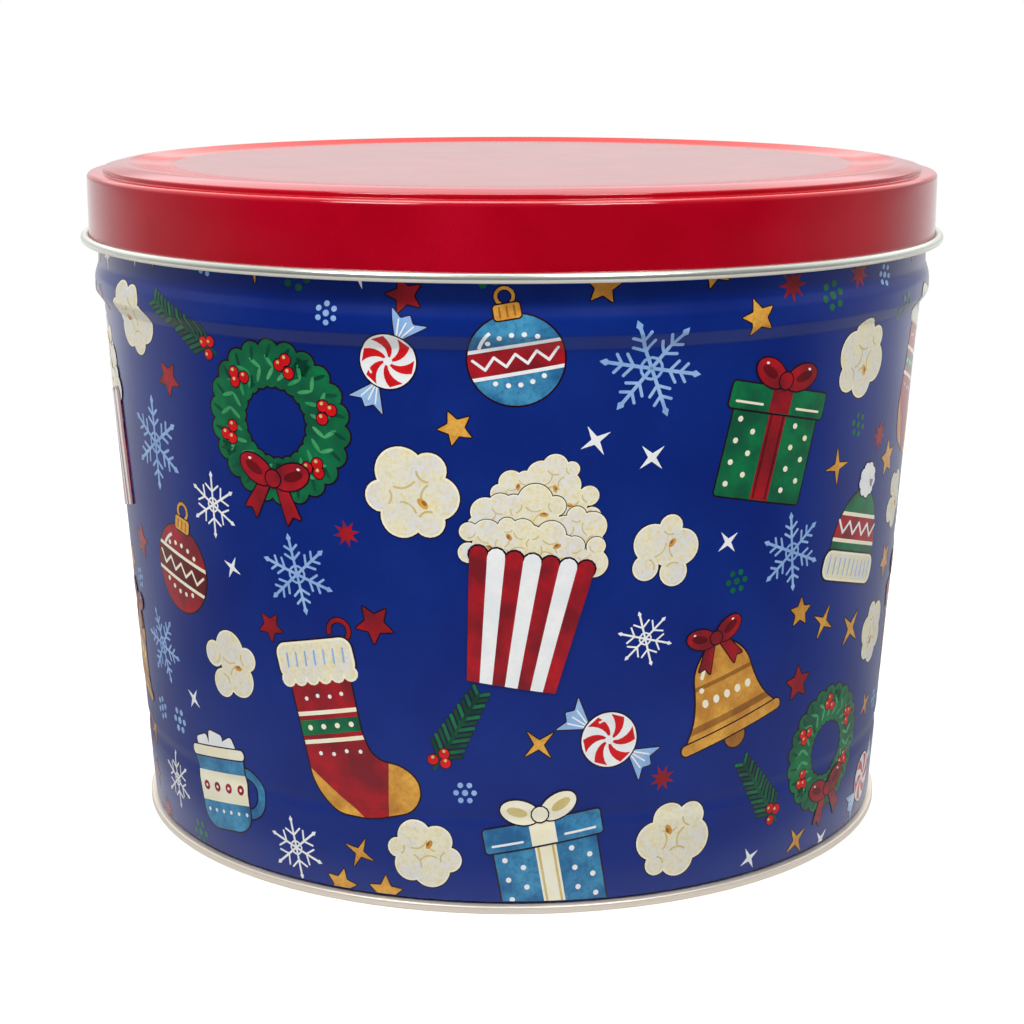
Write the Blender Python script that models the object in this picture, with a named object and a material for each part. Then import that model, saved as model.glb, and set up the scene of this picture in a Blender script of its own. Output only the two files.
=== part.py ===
"""A shut round popcorn tin: a tapered wall, a seamed bottom end and a slip lid, all turned about +Z.

Metres, +Z up. The origin is the centre of the foot, on the surface that the tin stands on.
The tin is shut, so each piece is solid inside, and its profile is a half section:
a list of corners (radius, height, fillet) from the axis at its top to the axis at its underside.
"""

import math

import bmesh
import bpy
from mathutils import Vector

SEGMENTS = 96
FILLET_STEPS = 2
CURL_STEPS = 8
SHARP_ANGLE = math.radians(32.0)
MERGE_DISTANCE = 1.0e-6

# Room between pieces that touch in the real tin
CLEARANCE = 0.0003

# Slip lid: 251 mm across its rolled edge, which is 9 7/8 in
LID_TOP = 0.1906
PANEL_RADIUS = 0.1030
PANEL_DROP = 0.0010
PANEL_FILLET = 0.0250
RIM_RADIUS = 0.1125
RIM_FILLET = 0.0120
CROWN_RADIUS = 0.1184
CROWN_DROP = 0.00145
CROWN_FILLET = 0.0006
LEDGE_DROP = 0.0028
LEDGE_FILLET = 0.0003
SKIRT_RADIUS = 0.1230
SKIRT_FILLET = 0.0013
SKIRT_INNER_RADIUS = 0.1216
SHEET_UNDER_LEDGE = 0.0014
CURL_REACH = 0.1254
CURL_ROLL = 0.0013
CURL_HEIGHT = 0.1695

# Tapered wall, with the neck that the lid slips over and the bead that stops it
NECK_RADIUS = 0.1206
NECK_FOOT = 0.1626
NECK_FILLET = 0.0060
BEAD_RADIUS = 0.1217
BEAD_TOP = 0.1592
BEAD_TOP_FILLET = 0.0060
BEAD_FOOT = 0.1549
BEAD_FOOT_FILLET = 0.0016
SHOULDER_RADIUS = 0.1193
SHOULDER_HEIGHT = 0.1513
SHOULDER_FILLET = 0.0014
WALL_FOOT_RADIUS = 0.1096
TUCK_HEIGHT = 0.0031
TUCK_DEPTH = 0.0007
GROOVE_HEIGHT = 0.0266
GROOVE_HALF_WIDTH = 0.0030
GROOVE_DEPTH = 0.0004
GROOVE_FILLET = 0.0060

# Bottom end, folded round the foot of the wall in a double seam
SEAM_RADIUS = 0.1112
SEAM_HEIGHT = 0.0022
SEAM_SHOULDER_FILLET = 0.0006
SEAM_FOOT_FILLET = 0.0004
SEAM_INNER_RADIUS = 0.1088
SEAM_INNER_FILLET = 0.0005
END_RECESS = 0.0014
END_RECESS_FILLET = 0.0005

RED_LACQUER = (163, 12, 32)
BLUE_PRINT = (27, 45, 112)
TINPLATE = (205, 205, 196)


def linear(rgb):
    """Screen colour, 0 to 255, as the linear colour with alpha that a shader takes."""
    channels = [value / 255.0 for value in rgb]
    curve = [c / 12.92 if c <= 0.04045 else ((c + 0.055) / 1.055) ** 2.4 for c in channels]
    return (*curve, 1.0)


def finish(name, rgb, roughness, metallic, coat):
    material = bpy.data.materials.new(name)
    material.use_nodes = True
    shader = material.node_tree.nodes["Principled BSDF"]
    shader.inputs["Base Color"].default_value = linear(rgb)
    shader.inputs["Roughness"].default_value = roughness
    shader.inputs["Metallic"].default_value = metallic
    shader.inputs["Coat Weight"].default_value = coat
    material.diffuse_color = linear(rgb)
    return material


def arc(centre, radius, start, end, steps):
    """Points on an arc in the half section, with both ends; angles in radians from outwards."""
    points = []
    for step in range(steps + 1):
        angle = start + (end - start) * step / steps
        points.append((centre[0] + radius * math.cos(angle), centre[1] + radius * math.sin(angle)))
    return points


def rounded(corners):
    """The half section through the corners, each one filleted by its third value."""
    points = []
    for index, (radius, height, fillet) in enumerate(corners):
        corner = Vector((radius, height))
        if fillet == 0.0:
            points.append(tuple(corner))
            continue
        before = (Vector(corners[index - 1][:2]) - corner).normalized()
        after = (Vector(corners[index + 1][:2]) - corner).normalized()
        half = before.angle(after) / 2.0
        centre = corner + (before + after).normalized() * fillet / math.sin(half)
        reach = fillet / math.tan(half)
        start = corner + before * reach - centre
        sweep = start.angle_signed(corner + after * reach - centre)
        first = math.atan2(start.y, start.x)
        points += arc(centre, fillet, first, first - sweep, FILLET_STEPS)
    return points


def wall_radius(height):
    """Outer radius of the straight taper between the bottom seam and the shoulder."""
    share = (height - SEAM_HEIGHT) / (SHOULDER_HEIGHT - SEAM_HEIGHT)
    return WALL_FOOT_RADIUS + (SHOULDER_RADIUS - WALL_FOOT_RADIUS) * share


def body_profile():
    """Filled up to the lid's underside, with its rim hidden in the lid and its foot tucked in at the seam."""
    top = LID_TOP - LEDGE_DROP - SHEET_UNDER_LEDGE - CLEARANCE
    foot = SEAM_HEIGHT + CLEARANCE
    groove_top = GROOVE_HEIGHT + GROOVE_HALF_WIDTH
    groove_foot = GROOVE_HEIGHT - GROOVE_HALF_WIDTH
    return rounded([
        (0.0, top, 0.0),
        (NECK_RADIUS, top, 0.0),
        (NECK_RADIUS, NECK_FOOT, NECK_FILLET),
        (BEAD_RADIUS, BEAD_TOP, BEAD_TOP_FILLET),
        (BEAD_RADIUS, BEAD_FOOT, BEAD_FOOT_FILLET),
        (SHOULDER_RADIUS, SHOULDER_HEIGHT, SHOULDER_FILLET),
        (wall_radius(groove_top), groove_top, GROOVE_FILLET),
        (wall_radius(GROOVE_HEIGHT) - GROOVE_DEPTH, GROOVE_HEIGHT, GROOVE_FILLET),
        (wall_radius(groove_foot), groove_foot, GROOVE_FILLET),
        (wall_radius(TUCK_HEIGHT), TUCK_HEIGHT, 0.0),
        (wall_radius(foot) - TUCK_DEPTH, foot, 0.0),
        (0.0, foot, 0.0),
    ])


def base_profile():
    """The double seam stands on a narrow flat ring, round a panel recessed above the ground."""
    return rounded([
        (0.0, SEAM_HEIGHT, 0.0),
        (SEAM_RADIUS, SEAM_HEIGHT, SEAM_SHOULDER_FILLET),
        (SEAM_RADIUS, 0.0, SEAM_FOOT_FILLET),
        (SEAM_INNER_RADIUS, 0.0, SEAM_INNER_FILLET),
        (SEAM_INNER_RADIUS, END_RECESS, END_RECESS_FILLET),
        (0.0, END_RECESS, 0.0),
    ])


def lid_profile():
    """A rim domed between the stepped edge and the flat panel, a plain skirt and an outward rolled edge."""
    ledge = LID_TOP - LEDGE_DROP
    underside = ledge - SHEET_UNDER_LEDGE
    # The last corner only aims the skirt at the rolled edge, which takes its place.
    top = rounded([
        (0.0, LID_TOP - PANEL_DROP, 0.0),
        (PANEL_RADIUS, LID_TOP - PANEL_DROP, PANEL_FILLET),
        (RIM_RADIUS, LID_TOP, RIM_FILLET),
        (CROWN_RADIUS, LID_TOP - CROWN_DROP, CROWN_FILLET),
        (CROWN_RADIUS, ledge, LEDGE_FILLET),
        (SKIRT_RADIUS, ledge, SKIRT_FILLET),
        (SKIRT_RADIUS, CURL_HEIGHT, 0.0),
    ])[:-1]
    curl_centre = (CURL_REACH - CURL_ROLL, CURL_HEIGHT)
    meets_skirt = math.acos((SKIRT_RADIUS - curl_centre[0]) / CURL_ROLL)
    curl = arc(curl_centre, CURL_ROLL, meets_skirt, -meets_skirt, CURL_STEPS)
    inside = [
        (SKIRT_INNER_RADIUS, curl[-1][1]),
        (SKIRT_INNER_RADIUS, underside),
        (0.0, underside),
    ]
    return top + curl + inside


def turned(name, profile, material):
    """One closed piece: the half section spun a full turn, with its ends shut on the axis."""
    mesh = bpy.data.meshes.new(name)
    bm = bmesh.new()
    verts = [bm.verts.new((radius, 0.0, height)) for radius, height in profile]
    edges = [bm.edges.new(pair) for pair in zip(verts, verts[1:])]
    bmesh.ops.spin(
        bm,
        geom=verts + edges,
        cent=(0.0, 0.0, 0.0),
        axis=(0.0, 0.0, 1.0),
        angle=math.tau,
        steps=SEGMENTS,
        use_merge=True,
    )
    bmesh.ops.remove_doubles(bm, verts=bm.verts, dist=MERGE_DISTANCE)
    bmesh.ops.recalc_face_normals(bm, faces=bm.faces)
    bm.to_mesh(mesh)
    bm.free()
    mesh.shade_smooth()
    mesh.set_sharp_from_angle(angle=SHARP_ANGLE)
    mesh.materials.append(material)
    piece = bpy.data.objects.new(name, mesh)
    bpy.context.scene.collection.objects.link(piece)
    return piece


def clear_scene():
    for old in list(bpy.data.objects):
        bpy.data.objects.remove(old, do_unlink=True)


def main():
    clear_scene()
    printed_blue = finish("printed_blue", BLUE_PRINT, roughness=0.42, metallic=0.0, coat=0.4)
    bare_tinplate = finish("bare_tinplate", TINPLATE, roughness=0.30, metallic=1.0, coat=0.0)
    red_lacquer = finish("red_lacquer", RED_LACQUER, roughness=0.38, metallic=0.0, coat=0.5)
    turned("body", body_profile(), printed_blue)
    turned("base", base_profile(), bare_tinplate)
    turned("lid", lid_profile(), red_lacquer)


main()
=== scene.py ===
import bisect
import math
import random

import bmesh
import bpy
from mathutils import Matrix, Vector


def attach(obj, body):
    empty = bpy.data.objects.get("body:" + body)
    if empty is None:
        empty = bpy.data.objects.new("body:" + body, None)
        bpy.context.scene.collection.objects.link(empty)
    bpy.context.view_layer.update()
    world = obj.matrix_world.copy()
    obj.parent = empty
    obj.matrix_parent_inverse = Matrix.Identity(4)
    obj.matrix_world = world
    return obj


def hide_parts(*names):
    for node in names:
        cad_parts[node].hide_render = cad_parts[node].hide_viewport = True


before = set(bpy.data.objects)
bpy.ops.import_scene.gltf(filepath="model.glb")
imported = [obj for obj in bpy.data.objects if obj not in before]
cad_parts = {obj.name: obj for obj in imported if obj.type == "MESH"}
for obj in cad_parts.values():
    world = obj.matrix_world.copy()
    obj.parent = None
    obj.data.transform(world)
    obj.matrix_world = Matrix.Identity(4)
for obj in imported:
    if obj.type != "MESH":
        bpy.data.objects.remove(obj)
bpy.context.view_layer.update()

# Sizes are in millimetres and colours are screen colours, 0 to 255, unless a name says otherwise.
MM = 0.001
SEGMENTS = 256
FILLET_STEPS = 6

LID_TOP = 190.6
PANEL_RADIUS = 103.0
PANEL_HEIGHT = 189.6
PANEL_FILLET = 25.0
RIM_RADIUS = 112.5
RIM_FILLET = 12.0
CROWN_RADIUS = 118.4
CROWN_HEIGHT = 189.15
CROWN_FILLET = 0.6
LEDGE_HEIGHT = 187.8
LEDGE_FILLET = 0.3
SKIRT_RADIUS = 123.0
SKIRT_FILLET = 1.3
SKIRT_INNER_RADIUS = 121.6
LID_UNDERSIDE = 186.4
CURL_REACH = 125.4
CURL_ROLL = 1.3
CURL_HEIGHT = 169.5
CURL_STEPS = 24

WALL_TOP = 186.1
WALL_TOP_FILLET = 1.0
NECK_RADIUS = 120.6
NECK_FOOT = 162.6
NECK_FILLET = 6.0
BEAD_RADIUS = 121.7
BEAD_TOP = 159.2
BEAD_TOP_FILLET = 6.0
BEAD_FOOT = 154.9
BEAD_FOOT_FILLET = 1.6
SHOULDER_RADIUS = 119.3
SHOULDER_HEIGHT = 151.3
SHOULDER_FILLET = 1.4
WALL_FOOT_RADIUS = 109.6
TUCK_HEIGHT = 3.1
TUCK_DEPTH = 0.7
TUCK_FILLET = 0.2
GROOVE_HEIGHT = 26.6
GROOVE_HALF_WIDTH = 3.0
GROOVE_DEPTH = 0.4
GROOVE_FILLET = 6.0

SEAM_RADIUS = 111.2
SEAM_HEIGHT = 2.2
SEAM_SHOULDER_FILLET = 0.6
SEAM_FOOT_FILLET = 0.4
SEAM_INNER_RADIUS = 108.8
SEAM_INNER_FILLET = 0.5
SEAM_GAP = 0.3
WALL_FOOT = SEAM_HEIGHT + SEAM_GAP
END_RECESS = 1.4
END_RECESS_FILLET = 0.5

# Painted reflection and highlight: how much brighter a red is painted over the lid's ring and ledge, by
# radius, standing in for the light these slopes reflect; and the ring's relief in mm
SHEEN_AND_RELIEF_FROM = 95.0
SHEEN_AND_RELIEF_TO = 125.0
PAINTED_SHEEN_EDGES = ((98.0, 0.0), (99.5, 0.9), (109.0, 0.9), (113.0, 0.0), (118.3, 0.0), (118.8, 0.35),
               (122.2, 0.35), (122.9, 0.0))
RING_RELIEF = ((98.5, 0.0), (111.5, 1.0))
RELIEF_HEIGHT = 4.7
PAINTED_SHEEN_RED = (230, 44, 34)

# The depths of the varnish's grain and of the sheet's buckling
GRAIN_DEPTH = 0.05
BUCKLE_DEPTH = 0.6

# Painted reflection: the underside of the lid's rolled edge is painted a pale cream, nearly without metal
# shine, in place of the bright floor it mirrors
FLOOR_REFLECTION_SOFTNESS = 0.2
FLOOR_REFLECTION_TONE = (255, 250, 234)
FLOOR_REFLECTION_METALLIC = 0.1

# The print, laid out flat at the wall's middle radius: across is round the tin, up is height
PRINT_RADIUS = 115.0
PRINT_TOP = 171.0
PRINT_FOOT = 3.2
SEAM_MARGIN = 0.15
INK_STEP = 0.02
INK_NUDGE = 0.002
INK_NUDGES = 9
INK_ROOT = 0.05
DISC_SIDES_PER_MM = 5.0
LINE_STEP = 1.2
SCATTER_SEED = 11
SCATTER_TRIES = 4000
SCATTER_ROOM = 6.5
CORN_RIM = 0.55
SMALL_REACH = 5.0
MOTIF_REACH = {
    "stocking": 25.0, "green gift": 24.0, "blue gift": 24.0, "red gift": 24.0, "bell": 20.0, "wreath": 24.0,
    "carton": 33.5, "round kernel": 12.0, "broad kernel": 12.0, "small kernel": 12.0, "peppermint": 14.0,
    "red bauble": 17.0, "blue bauble": 17.0, "hat": 19.0,
    "mug": 17.0, "sprig": 14.0, "big snowflake": 15.5, "small snowflake": 10.0,
}

# Ink: dark tone, light tone, fleck, share of flecks, patch scale
INKS = {
    "outline": ((34, 12, 30), (44, 16, 34), (26, 10, 34), 0.2, 110.0),
    "red": ((134, 24, 36), (190, 18, 34), (112, 30, 38), 0.4, 120.0),
    "scarlet": ((206, 6, 18), (232, 14, 24), (188, 8, 20), 0.3, 140.0),
    "crimson": ((98, 12, 22), (122, 14, 26), (86, 12, 20), 0.3, 120.0),
    "green": ((14, 92, 62), (8, 128, 74), (34, 84, 70), 0.4, 110.0),
    "fir": ((8, 66, 48), (16, 92, 62), (6, 56, 42), 0.3, 120.0),
    "mint": ((48, 150, 92), (84, 176, 112), (40, 140, 84), 0.3, 120.0),
    "gold": ((206, 140, 50), (240, 180, 74), (176, 108, 48), 0.4, 140.0),
    "brass": ((150, 96, 34), (182, 120, 44), (130, 84, 30), 0.3, 140.0),
    "cream": ((254, 246, 212), (255, 252, 232), (252, 240, 196), 0.3, 160.0),
    "corn": ((234, 234, 236), (246, 240, 212), (240, 218, 128), 0.75, 150.0),
    "butter": ((214, 192, 120), (226, 206, 140), (200, 174, 96), 0.3, 160.0),
    "white": ((244, 247, 248), (255, 255, 253), (234, 238, 243), 0.3, 160.0),
    "sky": ((138, 178, 230), (164, 200, 242), (128, 168, 224), 0.3, 140.0),
    "lake": ((34, 104, 156), (74, 158, 200), (24, 86, 140), 0.5, 110.0),
}

# The photograph's view
CAMERA_DISTANCE = 657.7
CAMERA_HEIGHT = 232.2
CAMERA_TILT_DEG = 77.284
CAMERA_LENS = 77.9
SENSOR = 36.0

# Light, in metres; a strength of 1 is white. What the lid mirrors behind the tin is a ramp from the
# horizon, 0, to the zenith, 1, in greys to be multiplied by the gain. The floor mirrored near by is a
# ramp from in front of the tin's axis to behind it. Far off it runs from the front, 0, round to the back, 1.
FLOOR_RADIUS = 6.0
FLOOR_BOUNCE = 0.52
FLOOR_TONE = 0.8
FLOOR_LIFT = 0.5
FLOOR_WHITE_FROM = 0.25
FLOOR_WHITE_TO = 0.8
FLOOR_NEAR_FROM = -0.25
FLOOR_NEAR_TO = 0.75
FLOOR_FAR_FROM = 0.6
FLOOR_FAR_TO = 1.2
FLOOR_NEAR = ((0.0, 0.01), (0.16, 0.11), (0.24, 0.27), (0.33, 0.46), (0.6, 0.6), (0.72, 0.75), (0.95, 1.0))
FLOOR_FAR = ((0.0, 0.0), (0.17, 0.02), (0.32, 0.11), (0.5, 0.32), (0.65, 0.44), (0.79, 0.8), (0.88, 1.0))
WORLD_LIGHT = 0.3
WORLD_BEHIND = ((0.0, 0.38), (0.055, 0.385), (0.09, 0.46), (0.13, 0.4), (0.22, 0.4), (0.3, 0.88), (1.0, 0.78))
WORLD_BEHIND_GAIN = 2.0
WORLD_BEHIND_FROM = -0.4
WORLD_BEHIND_TO = 0.9
WORLD_FRONT_LOW = 0.01
WORLD_FRONT_HIGH = 0.08
WORLD_FRONT_LOW_BELOW = 0.09
WORLD_FRONT_HIGH_ABOVE = 0.20

# The mirrored floor's glow round the foot, as (starts at, full at, strength)
FLOOR_GLOWS = ((0.32, 0.19, 0.36), (0.135, 0.118, 0.4))

# Softboxes: azimuth and elevation in degrees, distance, size, watts
SOFTBOX_AIM = 0.1
SOFTBOXES = {
    "left_box": (-42.0, 48.0, 1.2, 0.36, 6.2),
    "right_box": (30.0, 48.0, 1.2, 0.36, 6.2),
    "overhead_box": (180.0, 80.0, 1.2, 0.8, 8.0),
}


def linear(rgb):
    """Screen colour as the linear colour with alpha that a shader takes."""
    channels = [value / 255.0 for value in rgb]
    curve = [c / 12.92 if c <= 0.04045 else ((c + 0.055) / 1.055) ** 2.4 for c in channels]
    return (*curve, 1.0)


def arc(centre, radius, start, end, steps):
    """Points on an arc of the half section, with both ends; angles in radians from outwards."""
    points = []
    for step in range(steps + 1):
        angle = start + (end - start) * step / steps
        points.append((centre[0] + radius * math.cos(angle), centre[1] + radius * math.sin(angle)))
    return points


def rounded(corners):
    """The half section through corners of (radius, height, fillet)."""
    points = []
    for index, (radius, height, fillet) in enumerate(corners):
        corner = Vector((radius, height))
        if fillet == 0.0:
            points.append(tuple(corner))
            continue
        before = (Vector(corners[index - 1][:2]) - corner).normalized()
        after = (Vector(corners[index + 1][:2]) - corner).normalized()
        half = before.angle(after) / 2.0
        centre = corner + (before + after).normalized() * fillet / math.sin(half)
        reach = fillet / math.tan(half)
        start = corner + before * reach - centre
        sweep = start.angle_signed(corner + after * reach - centre)
        first = math.atan2(start.y, start.x)
        points += arc(centre, fillet, first, first - sweep, FILLET_STEPS)
    return points


def wall_radius(height):
    """Outer radius of the straight taper."""
    share = (height - SEAM_HEIGHT) / (SHOULDER_HEIGHT - SEAM_HEIGHT)
    return WALL_FOOT_RADIUS + (SHOULDER_RADIUS - WALL_FOOT_RADIUS) * share


def wall_profile():
    """The printed wall, from the rim hidden in the lid down to the foot tucked in at the seam."""
    groove_top = GROOVE_HEIGHT + GROOVE_HALF_WIDTH
    groove_foot = GROOVE_HEIGHT - GROOVE_HALF_WIDTH
    return rounded([
        (0.0, WALL_TOP, 0.0),
        (NECK_RADIUS, WALL_TOP, WALL_TOP_FILLET),
        (NECK_RADIUS, NECK_FOOT, NECK_FILLET),
        (BEAD_RADIUS, BEAD_TOP, BEAD_TOP_FILLET),
        (BEAD_RADIUS, BEAD_FOOT, BEAD_FOOT_FILLET),
        (SHOULDER_RADIUS, SHOULDER_HEIGHT, SHOULDER_FILLET),
        (wall_radius(groove_top), groove_top, GROOVE_FILLET),
        (wall_radius(GROOVE_HEIGHT) - GROOVE_DEPTH, GROOVE_HEIGHT, GROOVE_FILLET),
        (wall_radius(groove_foot), groove_foot, GROOVE_FILLET),
        (wall_radius(TUCK_HEIGHT), TUCK_HEIGHT, TUCK_FILLET),
        (wall_radius(WALL_FOOT) - TUCK_DEPTH, WALL_FOOT, 0.0),
        (0.0, WALL_FOOT, 0.0),
    ])


def seam_profile():
    """The bottom end: the seam on its narrow flat ring, round a recessed panel."""
    return rounded([
        (0.0, SEAM_HEIGHT, 0.0),
        (SEAM_RADIUS, SEAM_HEIGHT, SEAM_SHOULDER_FILLET),
        (SEAM_RADIUS, 0.0, SEAM_FOOT_FILLET),
        (SEAM_INNER_RADIUS, 0.0, SEAM_INNER_FILLET),
        (SEAM_INNER_RADIUS, END_RECESS, END_RECESS_FILLET),
        (0.0, END_RECESS, 0.0),
    ])


def cap_profile():
    """The lid without its rolled edge: flat panel, domed ring, ledge and skirt."""
    return rounded([
        (0.0, PANEL_HEIGHT, 0.0),
        (PANEL_RADIUS, PANEL_HEIGHT, PANEL_FILLET),
        (RIM_RADIUS, LID_TOP, RIM_FILLET),
        (CROWN_RADIUS, CROWN_HEIGHT, CROWN_FILLET),
        (CROWN_RADIUS, LEDGE_HEIGHT, LEDGE_FILLET),
        (SKIRT_RADIUS, LEDGE_HEIGHT, SKIRT_FILLET),
        (SKIRT_RADIUS, CURL_HEIGHT, 0.0),
        (SKIRT_INNER_RADIUS, CURL_HEIGHT, 0.0),
        (SKIRT_INNER_RADIUS, LID_UNDERSIDE, 0.0),
        (0.0, LID_UNDERSIDE, 0.0),
    ])


def curl_profile():
    return arc((CURL_REACH - CURL_ROLL, CURL_HEIGHT), CURL_ROLL, 0.0, -math.tau, CURL_STEPS)


def finished(name, bm, material, replaces=()):
    """Makes the piece from a mesh in millimetres, and hangs it on the tin."""
    bmesh.ops.recalc_face_normals(bm, faces=bm.faces)
    bm.transform(Matrix.Scale(MM, 4))
    mesh = bpy.data.meshes.new(name)
    bm.to_mesh(mesh)
    bm.free()
    mesh.shade_smooth()
    mesh.set_sharp_from_angle(angle=math.radians(35.0))
    mesh.materials.append(material)
    piece = bpy.data.objects.new(name, mesh)
    bpy.context.scene.collection.objects.link(piece)
    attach(piece, "root")
    if replaces:
        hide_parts(*replaces)
    return piece


def turned(profile):
    """The half section spun a full turn about the tin's axis."""
    bm = bmesh.new()
    verts = [bm.verts.new((radius, 0.0, height)) for radius, height in profile]
    edges = [bm.edges.new(pair) for pair in zip(verts, verts[1:])]
    bmesh.ops.spin(
        bm,
        geom=verts + edges,
        cent=(0.0, 0.0, 0.0),
        axis=(0.0, 0.0, 1.0),
        angle=math.tau,
        steps=SEGMENTS,
        use_merge=True,
    )
    bmesh.ops.remove_doubles(bm, verts=bm.verts, dist=0.001)
    return bm


class Nodes:
    """A shorthand for adding nodes to one tree and wiring their sockets by name."""

    def __init__(self, tree):
        self.tree = tree

    def add(self, kind, settings=None, **sockets):
        """Adds a node. A socket goes by its name, or by its number after a low line."""
        node = self.tree.nodes.new(kind)
        for name, value in (settings or {}).items():
            setattr(node, name, value)
        for name, value in sockets.items():
            socket = node.inputs[int(name[1:])] if name[0] == "_" else node.inputs[name.replace("_", " ")]
            if isinstance(value, bpy.types.NodeSocket):
                self.tree.links.new(value, socket)
            else:
                socket.default_value = value
        return node

    def ranged(self, value, start, end, low=0.0, high=1.0):
        """A value between start and end, set out between low and high and held there."""
        return self.add("ShaderNodeMapRange", Value=value, From_Min=start, From_Max=end,
                        To_Min=low, To_Max=high).outputs[0]

    def blend(self, share, first, second):
        """The colour between two, by a share of the second."""
        return self.add("ShaderNodeMix", {"data_type": "RGBA"}, _0=share, _6=first, _7=second).outputs[2]

    def maths(self, operation, first, second):
        return self.add("ShaderNodeMath", {"operation": operation}, _0=first, _1=second).outputs[0]

    def noise(self, place, scale, detail, **sockets):
        return self.add("ShaderNodeTexNoise", Vector=place, Scale=scale, Detail=detail,
                        **sockets).outputs["Fac"]

    def greys(self, factor, stops):
        """A ramp of greys, given as (place, value)."""
        node = self.add("ShaderNodeValToRGB", Fac=factor)
        ramp = node.color_ramp
        while len(ramp.elements) < len(stops):
            ramp.elements.new(0.5)
        for element, (place, value) in zip(ramp.elements, stops):
            element.position = place
            element.color = (value, value, value, 1.0)
        return node.outputs["Color"]


def new_group(name, inputs, outputs):
    """A shader node group with named sockets, its nodes, and what comes in through its inputs."""
    group = bpy.data.node_groups.new(name, "ShaderNodeTree")
    for way, sockets in (("INPUT", inputs), ("OUTPUT", outputs)):
        for label, kind in sockets.items():
            group.interface.new_socket(label, in_out=way, socket_type=f"NodeSocket{kind}")
    nodes = Nodes(group)
    return group, nodes, nodes.add("NodeGroupInput").outputs


def new_material(name):
    material = bpy.data.materials.new(name)
    material.use_nodes = True
    material.node_tree.nodes.clear()
    return material, Nodes(material.node_tree)


def varnish_group():
    """The satin varnish over the print: a finely grained, slightly buckled normal and a smudged gloss."""
    group, nodes, inputs = new_group(
        "varnish",
        {"Gloss Loss": "Float", "Grain": "Float", "Buckle": "Float"},
        {"Roughness": "Float", "Normal": "Vector"},
    )
    place = nodes.add("ShaderNodeTexCoord").outputs["Object"]
    grain = nodes.noise(place, 1900.0, 2.0)
    sheet = nodes.noise(place, 28.0, 1.0)
    fine = nodes.add("ShaderNodeBump", Height=grain, Strength=inputs["Grain"], Distance=GRAIN_DEPTH * MM)
    wavy = nodes.add("ShaderNodeBump", Height=sheet, Strength=inputs["Buckle"], Distance=BUCKLE_DEPTH * MM,
                     Normal=fine.outputs[0])
    smudge = nodes.ranged(nodes.noise(place, 60.0, 4.0), 0.35, 0.7, -0.012, 0.018)
    rough = nodes.maths("ADD", smudge, inputs["Gloss Loss"])
    nodes.add("NodeGroupOutput", Roughness=rough, Normal=wavy.outputs[0])
    return group


def mottle_group():
    """Uneven painted colour: soft patches from dark to light, with fine flecks over them."""
    group, nodes, inputs = new_group(
        "mottle",
        {"Dark": "Color", "Light": "Color", "Fleck": "Color",
         "Patch Scale": "Float", "Fleck Scale": "Float", "Fleck Share": "Float"},
        {"Color": "Color"},
    )
    place = nodes.add("ShaderNodeTexCoord").outputs["Object"]
    depth = nodes.ranged(nodes.noise(place, inputs["Patch Scale"], 3.0), 0.36, 0.64)
    wash = nodes.blend(depth, inputs["Dark"], inputs["Light"])
    fleck = nodes.noise(place, inputs["Fleck Scale"], 5.0, Roughness=0.7)
    share = nodes.ranged(fleck, 0.46, 0.66, 0.0, inputs["Fleck Share"])
    nodes.add("NodeGroupOutput", Color=nodes.blend(share, wash, inputs["Fleck"]))
    return group


def printed(name, dark, light, fleck, fleck_share, patch_scale, fleck_scale=900.0):
    """Ink or lacquer under satin varnish, mottled between its dark and its light tone."""
    material, nodes = new_material(name)
    mottle = nodes.add("ShaderNodeGroup", {"node_tree": MOTTLE}, Dark=linear(dark), Light=linear(light),
                       Fleck=linear(fleck), Patch_Scale=patch_scale, Fleck_Scale=fleck_scale,
                       Fleck_Share=fleck_share)
    varnish = nodes.add("ShaderNodeGroup", {"node_tree": VARNISH}, Gloss_Loss=0.24, Grain=0.22, Buckle=0.12)
    shader = nodes.add("ShaderNodeBsdfPrincipled", Base_Color=mottle.outputs["Color"],
                       Roughness=varnish.outputs["Roughness"], Normal=varnish.outputs["Normal"])
    nodes.add("ShaderNodeOutputMaterial", Surface=shader.outputs["BSDF"])
    return material


def by_radius(stops):
    """Stops of (radius, value) as places across the lid's ring and ledge, where the painted reflection and
    the relief lie.
    """
    return [((radius - SHEEN_AND_RELIEF_FROM) / (SHEEN_AND_RELIEF_TO - SHEEN_AND_RELIEF_FROM), value) for radius, value in stops]


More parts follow.
